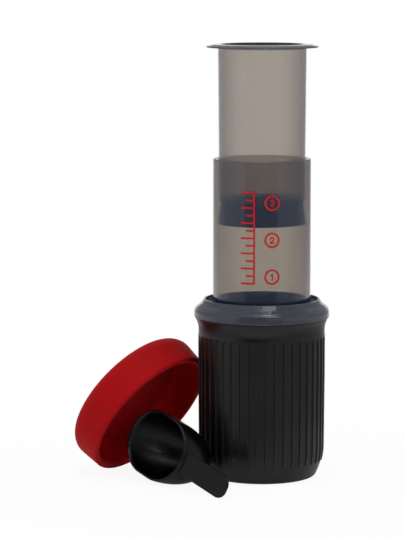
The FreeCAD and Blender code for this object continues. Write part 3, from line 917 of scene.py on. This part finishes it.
def make_scale():
    """A plain upright scale: a line with long and short ticks in turn."""
    mesh = bmesh.new()
    stroke(mesh, [Vector((SCALE_ACROSS, SCALE_FOOT)), Vector((SCALE_ACROSS, SCALE_TOP))],
           SCALE_STROKE)
    for tick in range(SCALE_TICKS):
        height = SCALE_FOOT + (SCALE_TOP - SCALE_FOOT) * tick / (SCALE_TICKS - 1)
        reach = TICK_SHORT if tick % 2 else TICK_LONG
        stroke(mesh, [Vector((SCALE_ACROSS - SCALE_STROKE, height)),
                      Vector((SCALE_ACROSS - reach, height))], SCALE_STROKE)
    return new_object("scale_marks", mesh)


# Lid

def make_lid():
    """The lid as a cup with a thick soft lip inside its mouth."""
    inner = LID_CROWN - LID_WALL
    ceiling = LID_HEIGHT - LID_TOP_WALL
    points = outline([
        (0, LID_HEIGHT),
        (LID_CROWN, LID_HEIGHT, LID_CORNER),
        (LID_MOUTH, 0, LID_LIP_ROUNDING),
        (LID_LIP, 0, LID_LIP_ROUNDING),
        (LID_LIP, LID_LIP_HEIGHT, LID_LIP_HEIGHT / 2),
        (inner - (LID_CROWN - LID_MOUTH) / 2, 2 * LID_LIP_HEIGHT, LID_LIP_HEIGHT),
        (inner, ceiling, LID_CORNER - LID_WALL),
        (0, ceiling),
    ], step=LID_ARC_STEP)
    lid = spin("lid_cup", points, even_angles(LID_COLUMNS))
    stand_in(lid, "lid", LID_ANGLES)
    return lid


# Scoop

def oval_ring(mesh, radius, half_straight, shift, height):
    """A level oval: two half circles joined by straight sides along X."""
    ring = []
    for side in (1, -1):
        for i in range(BOWL_COLUMNS + 1):
            angle = math.pi * (i / BOWL_COLUMNS - 0.5)
            place = Vector((side * (half_straight + radius * math.cos(angle)) + shift,
                            side * radius * math.sin(angle), height))
            ring.append(mesh.verts.new(place * MM))
    return ring


def bowl_rings(mesh, wall, first_angle):
    """Rings of the bowl, wall inside its outer surface, from near the rim to the bottom."""
    rings = []
    for row in range(BOWL_ROWS + 1):
        angle = math.radians(first_angle + (BOWL_LAST_ANGLE - first_angle) * row / BOWL_ROWS)
        width, depth = math.cos(angle), math.sin(angle)
        rings.append(oval_ring(mesh, (BOWL_HALF_WIDTH - wall) * width, BOWL_HALF_STRAIGHT * width,
                               BOWL_SHIFT * depth, -(BOWL_DEPTH - wall) * depth))
    return rings


def make_bowl():
    """The oval bowl, its rim rounded over the wall's thickness."""
    mesh = bmesh.new()
    half_wall = BOWL_WALL / 2
    middle = BOWL_HALF_WIDTH - half_wall
    first_angle = math.degrees(math.asin(half_wall / BOWL_DEPTH))
    outer = bowl_rings(mesh, 0, first_angle)
    inner = bowl_rings(mesh, BOWL_WALL, first_angle)
    turns = [math.pi * k / BOWL_LIP_STEPS for k in range(1, BOWL_LIP_STEPS)]
    lip = [oval_ring(mesh, middle + half_wall * math.cos(turn), BOWL_HALF_STRAIGHT, 0,
                     half_wall * (math.sin(turn) - 1)) for turn in turns]
    loft(mesh, outer[::-1] + lip + inner, capped=True)
    return new_object("scoop_bowl", mesh)


def handle_outline(inset):
    """The handle seen from above, its root curved like the bowl's wall."""
    half = HANDLE_WIDTH / 2 - inset
    tip = BOWL_HALF_STRAIGHT + BOWL_HALF_WIDTH + HANDLE_REACH - inset
    rounding = HANDLE_TIP - inset
    wall = BOWL_HALF_WIDTH - BOWL_WALL / 2
    root_turn = math.degrees(math.asin(half / wall))
    root = arc_line(Vector((BOWL_HALF_STRAIGHT, 0)), wall, root_turn, -root_turn,
                    HANDLE_ROOT_STEPS)
    lower = arc_line(Vector((tip - rounding, rounding - half)), rounding, -90, 0,
                     HANDLE_TIP_STEPS)
    upper = arc_line(Vector((tip - rounding, half - rounding)), rounding, 0, 90,
                     HANDLE_TIP_STEPS)
    return root + lower + upper


def handle_rows():
    """Inset and height of the handle's outlines, from its top over the edge to its foot."""
    top, foot = -HANDLE_DROP, -(HANDLE_DROP + HANDLE_THICK)
    turns = [math.pi / 2 * k / HANDLE_EDGE_STEPS for k in range(HANDLE_EDGE_STEPS + 1)]
    edge = [(HANDLE_EDGE * (1 - math.sin(turn)), HANDLE_EDGE * (1 - math.cos(turn)))
            for turn in turns]
    upper = [(inset, top - drop) for inset, drop in edge]
    lower = [(inset, foot + rise) for inset, rise in reversed(edge)]
    return [(2 * HANDLE_EDGE, top), *upper, *lower, (2 * HANDLE_EDGE, foot)]


def make_handle():
    """The flat handle with its rounded edges."""
    mesh = bmesh.new()
    rings = [[mesh.verts.new(Vector((*place, height)) * MM) for place in handle_outline(inset)]
             for inset, height in handle_rows()]
    loft(mesh, rings, capped=True)
    return new_object("scoop_handle", mesh)


def make_scoop():
    """Bowl and handle as one solid, standing where the CAD scoop stands."""
    bowl, handle = make_bowl(), make_handle()
    joined = bowl.modifiers.new("joined", "BOOLEAN")
    joined.operation = "UNION"
    joined.solver = "EXACT"
    joined.object = handle
    bpy.context.view_layer.update()
    graph = bpy.context.evaluated_depsgraph_get()
    mesh = bmesh.new()
    mesh.from_mesh(bpy.data.meshes.new_from_object(bowl.evaluated_get(graph)))
    bpy.data.objects.remove(handle)
    bpy.data.objects.remove(bowl)
    scoop = new_object("scoop_body", mesh)
    stand_in(scoop, "scoop", SCOOP_ANGLES)
    return scoop


# Studio

def level_round(tree, turn, stops):
    """The sky's level in one band, where turn runs from 0 to 1 round the object."""
    ramp = tree.nodes.new("ShaderNodeValToRGB")
    line = ramp.color_ramp.elements
    line.remove(line[1])
    line[0].color = (*[stops[0][1] / SKY_BRIGHTEST] * 3, 1)
    for (_, before), (start, after) in zip(stops, stops[1:]):
        for angle, level in ((start - SKY_SOFT, before), (start + SKY_SOFT, after)):
            line.new(angle / 360 + 0.5).color = (*[level / SKY_BRIGHTEST] * 3, 1)
    tree.links.new(turn, ramp.inputs["Fac"])
    return arithmetic(tree, "MULTIPLY", ramp.outputs["Color"], SKY_BRIGHTEST)


def sky_level(tree):
    """How bright the surroundings are in each direction, by reflection and through plastic."""
    where = tree.nodes.new("ShaderNodeTexCoord")
    split = tree.nodes.new("ShaderNodeSeparateXYZ")
    tree.links.new(where.outputs["Generated"], split.inputs["Vector"])
    x, y, z = split.outputs["X"], split.outputs["Y"], split.outputs["Z"]
    azimuth = arithmetic(tree, "ARCTAN2", x, arithmetic(tree, "MULTIPLY", y, -1.0))
    turn = arithmetic(tree, "ADD", arithmetic(tree, "DIVIDE", azimuth, 2 * math.pi), 0.5)
    height = arithmetic(tree, "DEGREES", arithmetic(tree, "ARCSINE", z))
    level = level_round(tree, turn, SKY_BANDS[0][1])
    for (top, _), (_, stops) in zip(SKY_BANDS, SKY_BANDS[1:]):
        above = spread(tree, height, 0, 1, top - SKY_SOFT, top + SKY_SOFT)
        level = blended(tree, above, level, level_round(tree, turn, stops))
    return level, level_round(tree, turn, BACKDROP)


def make_world():
    """A studio that is white to the eye, while reflections show its panels and dark gaps."""
    world = bpy.data.worlds.new("studio")
    bpy.context.scene.world = world
    world.use_nodes = True
    tree = world.node_tree
    level, backdrop = sky_level(tree)
    strength = blended(tree, light_ray(tree, "Is Transmission Ray"), level, backdrop)
    strength = blended(tree, light_ray(tree, "Is Camera Ray"), strength, SKY_SEEN)
    tree.links.new(strength, tree.nodes["Background"].inputs["Strength"])
    tree.nodes["Background"].inputs["Color"].default_value = (1, 1, 1, 1)


def make_floor():
    """A white round floor that keeps the shadows and shines only a little into reflections."""
    mesh = bmesh.new()
    bmesh.ops.create_circle(mesh, cap_ends=True, segments=FLOOR_SIDES, radius=FLOOR_RADIUS * MM)
    floor = new_object("floor", mesh)
    material, tree, shader = new_material("floor_paper")
    shader.inputs["Base Color"].default_value = (FLOOR_GREY, FLOOR_GREY, FLOOR_GREY, 1)
    shader.inputs["Roughness"].default_value = 0.9
    shader.inputs["Specular IOR Level"].default_value = 0.1
    glow = tree.nodes.new("ShaderNodeEmission")
    glow.inputs["Strength"].default_value = FLOOR_SHINE
    mix = tree.nodes.new("ShaderNodeMixShader")
    seen = light_ray(tree, "Is Camera Ray", "Is Transmission Ray")
    mirrored = arithmetic(tree, "MULTIPLY", light_ray(tree, "Is Glossy Ray"), FLOOR_GLOW_MIRRORED)
    tree.links.new(blended(tree, seen, mirrored, FLOOR_GLOW_SEEN), mix.inputs["Fac"])
    tree.links.new(shader.outputs["BSDF"], mix.inputs[1])
    tree.links.new(glow.outputs["Emission"], mix.inputs[2])
    tree.links.new(mix.outputs["Shader"], tree.nodes["Material Output"].inputs["Surface"])
    floor.data.materials.append(material)


def make_spot():
    """A narrow lamp that puts a soft highlight in the scoop's bowl and lights little else."""
    data = bpy.data.lights.new("spot", "SPOT")
    data.energy = SPOT_WATTS
    data.spot_size = math.radians(SPOT_BEAM)
    data.spot_blend = 1.0
    data.shadow_soft_size = SPOT_RADIUS * MM
    spot = linked("spot", data)
    bearing, height = math.radians(SPOT_BEARING), math.radians(SPOT_HEIGHT)
    ahead = Vector((math.sin(bearing) * math.cos(height), -math.cos(bearing) * math.cos(height),
                    math.sin(height)))
    spot.location = (SPOT_AIM + ahead * SPOT_DISTANCE) * MM
    spot.rotation_euler = (math.radians(90) - height, 0, bearing)


def make_camera():
    """The camera that the photograph's ellipses and heights ask for."""
    data = bpy.data.cameras.new("camera")
    data.sensor_width = SENSOR
    data.lens = FOCAL_PIXELS / PHOTO_LONG_SIDE * SENSOR
    data.clip_end = FARTHEST_SEEN * MM
    camera = linked("camera", data)
    camera.location = CAMERA_PLACE * MM
    camera.rotation_euler = (math.radians(90 - CAMERA_PITCH), 0, math.radians(CAMERA_YAW))
    bpy.context.scene.camera = camera


# The object

def dress(thing, material, body=None, node=None):
    """Give a piece its only material; a new piece also rides on a body and stands for a node."""
    thing.data.materials.clear()
    thing.data.materials.append(material)
    if body is not None:
        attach(thing, body)
    if node is not None:
        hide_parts(node)


def dress_all():
    """Make every piece and give each its finish and body."""
    ink = printed_ink()
    chamber_smoke = tube_smoke("chamber_smoke", CHAMBER_DENSITY)
    plunger_smoke = tube_smoke("plunger_smoke", PLUNGER_DENSITY)
    flange_smoke = rim_smoke("flange_smoke", FLANGE_COLOUR)
    brim_smoke = rim_smoke("brim_smoke", BRIM_COLOUR)
    dress(make_mug(), mug_plastic(), "mug", "mug")
    dress(make_chamber(), chamber_smoke, "chamber", "chamber")
    dress(make_flange(), flange_smoke, "chamber", "chamber")
    dress(make_doses(), ink, "chamber")
    dress(make_scale(), ink, "chamber")
    dress(make_plunger(), plunger_smoke, "plunger", "plunger_tube")
    dress(make_brim(), brim_smoke, "plunger", "plunger_tube")
    dress(make_seal(), seal_rubber(), "plunger", "plunger_seal")
    dress(make_lid(), lid_silicone(), "lid", "lid")
    dress(make_scoop(), scoop_plastic(), "scoop", "scoop")
    dress(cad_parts["filter_cap"], cap_plastic())
    dress(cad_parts["paper_filter"], filter_paper())


bpy.context.scene.view_settings.view_transform = "Standard"
dress_all()
make_world()
make_floor()
make_spot()
make_camera()
